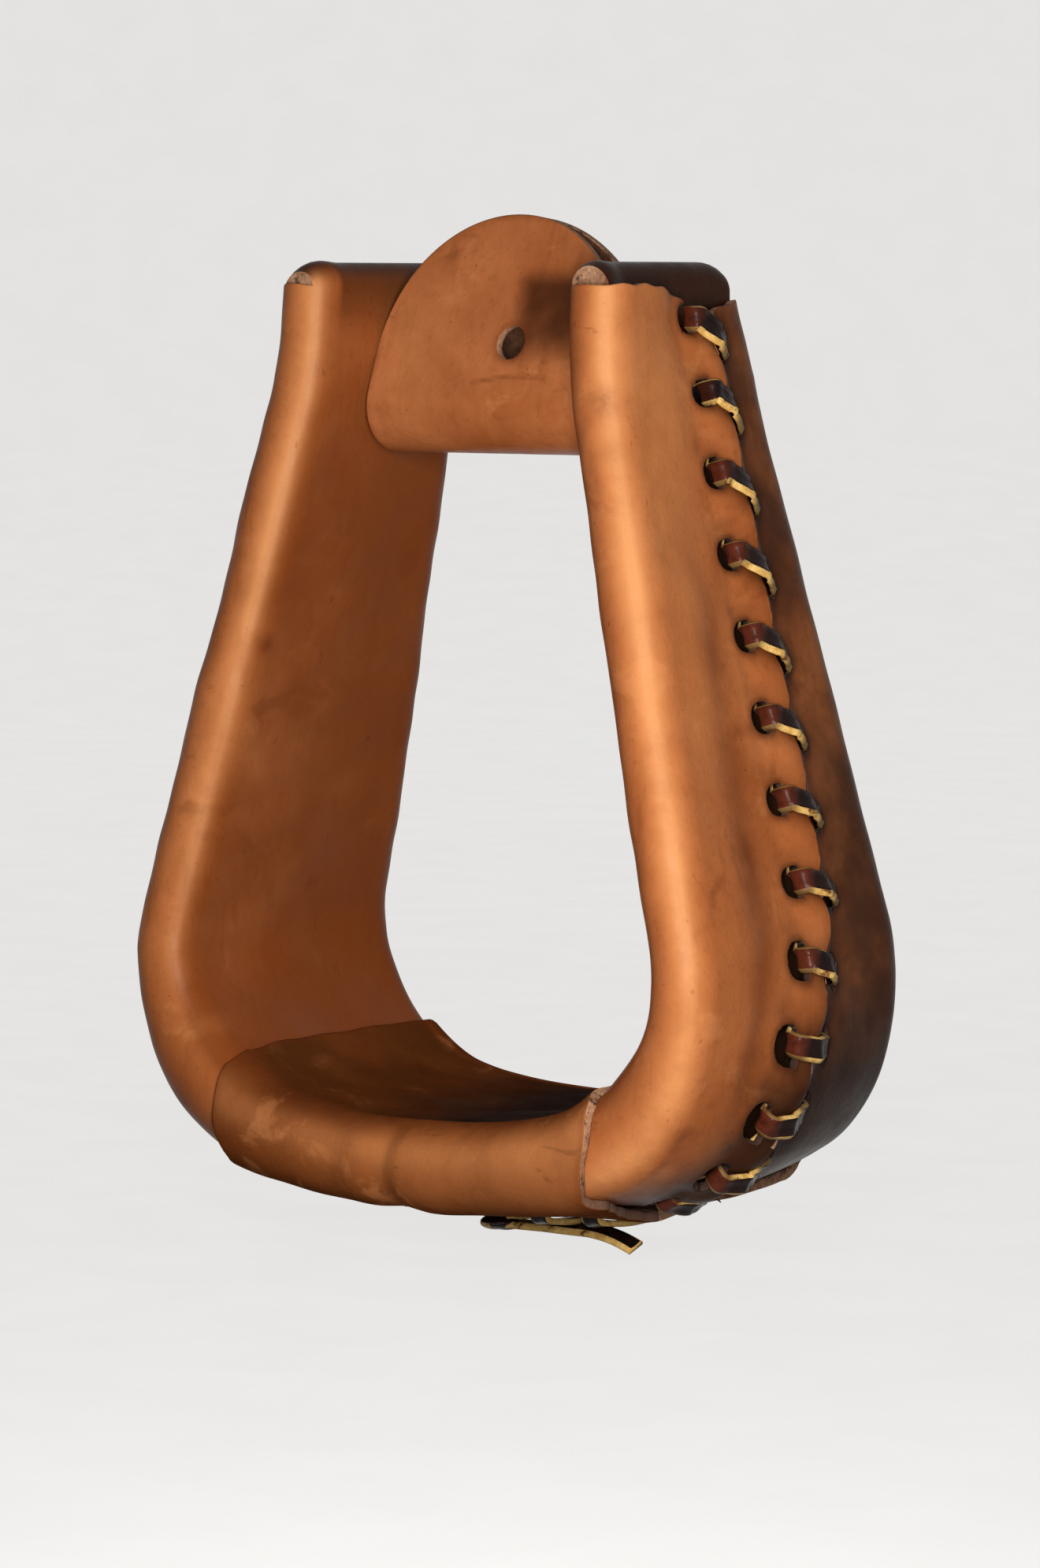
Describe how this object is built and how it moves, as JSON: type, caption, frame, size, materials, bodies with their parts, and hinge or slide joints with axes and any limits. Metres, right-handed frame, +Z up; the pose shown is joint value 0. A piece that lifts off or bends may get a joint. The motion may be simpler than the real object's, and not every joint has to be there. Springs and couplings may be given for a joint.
{
  "type": "roper stirrup",
  "caption": "Leather-covered bent-wood stirrup with splayed laced legs, a laced tread wrap and a hanging bar with roller and folded leather cover.",
  "frame": {"origin": "the middle of the hanging bar's axis, between the leg tops", "axes": "+X to the right seen from the front, along the bar; +Y to the back, so the front faces -Y; +Z up the legs"},
  "size_m": [0.17, 0.0816, 0.2223],
  "materials": {
    "bow_core": "bent ash, unfinished",
    "leg_cover_left": "saddle leather, oiled, worn",
    "leg_cover_right": "saddle leather, oiled, worn",
    "leg_lace_left": "flat lace, dark red brown, glossy",
    "leg_lace_right": "flat lace, dark red brown, glossy",
    "tread_cover": "saddle leather, oiled, worn",
    "tread_lace": "flat lace, dark red brown, glossy",
    "bolt": "zinc plated",
    "washer_left": "zinc plated",
    "washer_right": "zinc plated",
    "nut": "zinc plated",
    "roller": "turned, unfinished",
    "bolt_cover": "saddle leather, oiled, worn"
  },
  "bodies": {
    "bow": {"bow_core": "bow_core", "leg_cover_left": "leg_cover_left", "leg_cover_right": "leg_cover_right", "leg_lace_left": "leg_lace_left", "leg_lace_right": "leg_lace_right", "tread_cover": "tread_cover", "tread_lace": "tread_lace", "bolt": "bolt", "washer_left": "washer_left", "washer_right": "washer_right", "nut": "nut"},
    "roller": {"roller": "roller"},
    "bolt_cover": {"bolt_cover": "bolt_cover"}
  },
  "joints": [
    {"name": "roller_spin", "type": "hinge", "parent": "bow", "child": "roller", "pos_m": [0, 0, 0], "axis": [1, 0, 0], "continuous": true},
    {"name": "bolt_cover_swing", "type": "hinge", "parent": "bow", "child": "bolt_cover", "pos_m": [0, 0, 0], "axis": [1, 0, 0], "continuous": true}
  ]
}
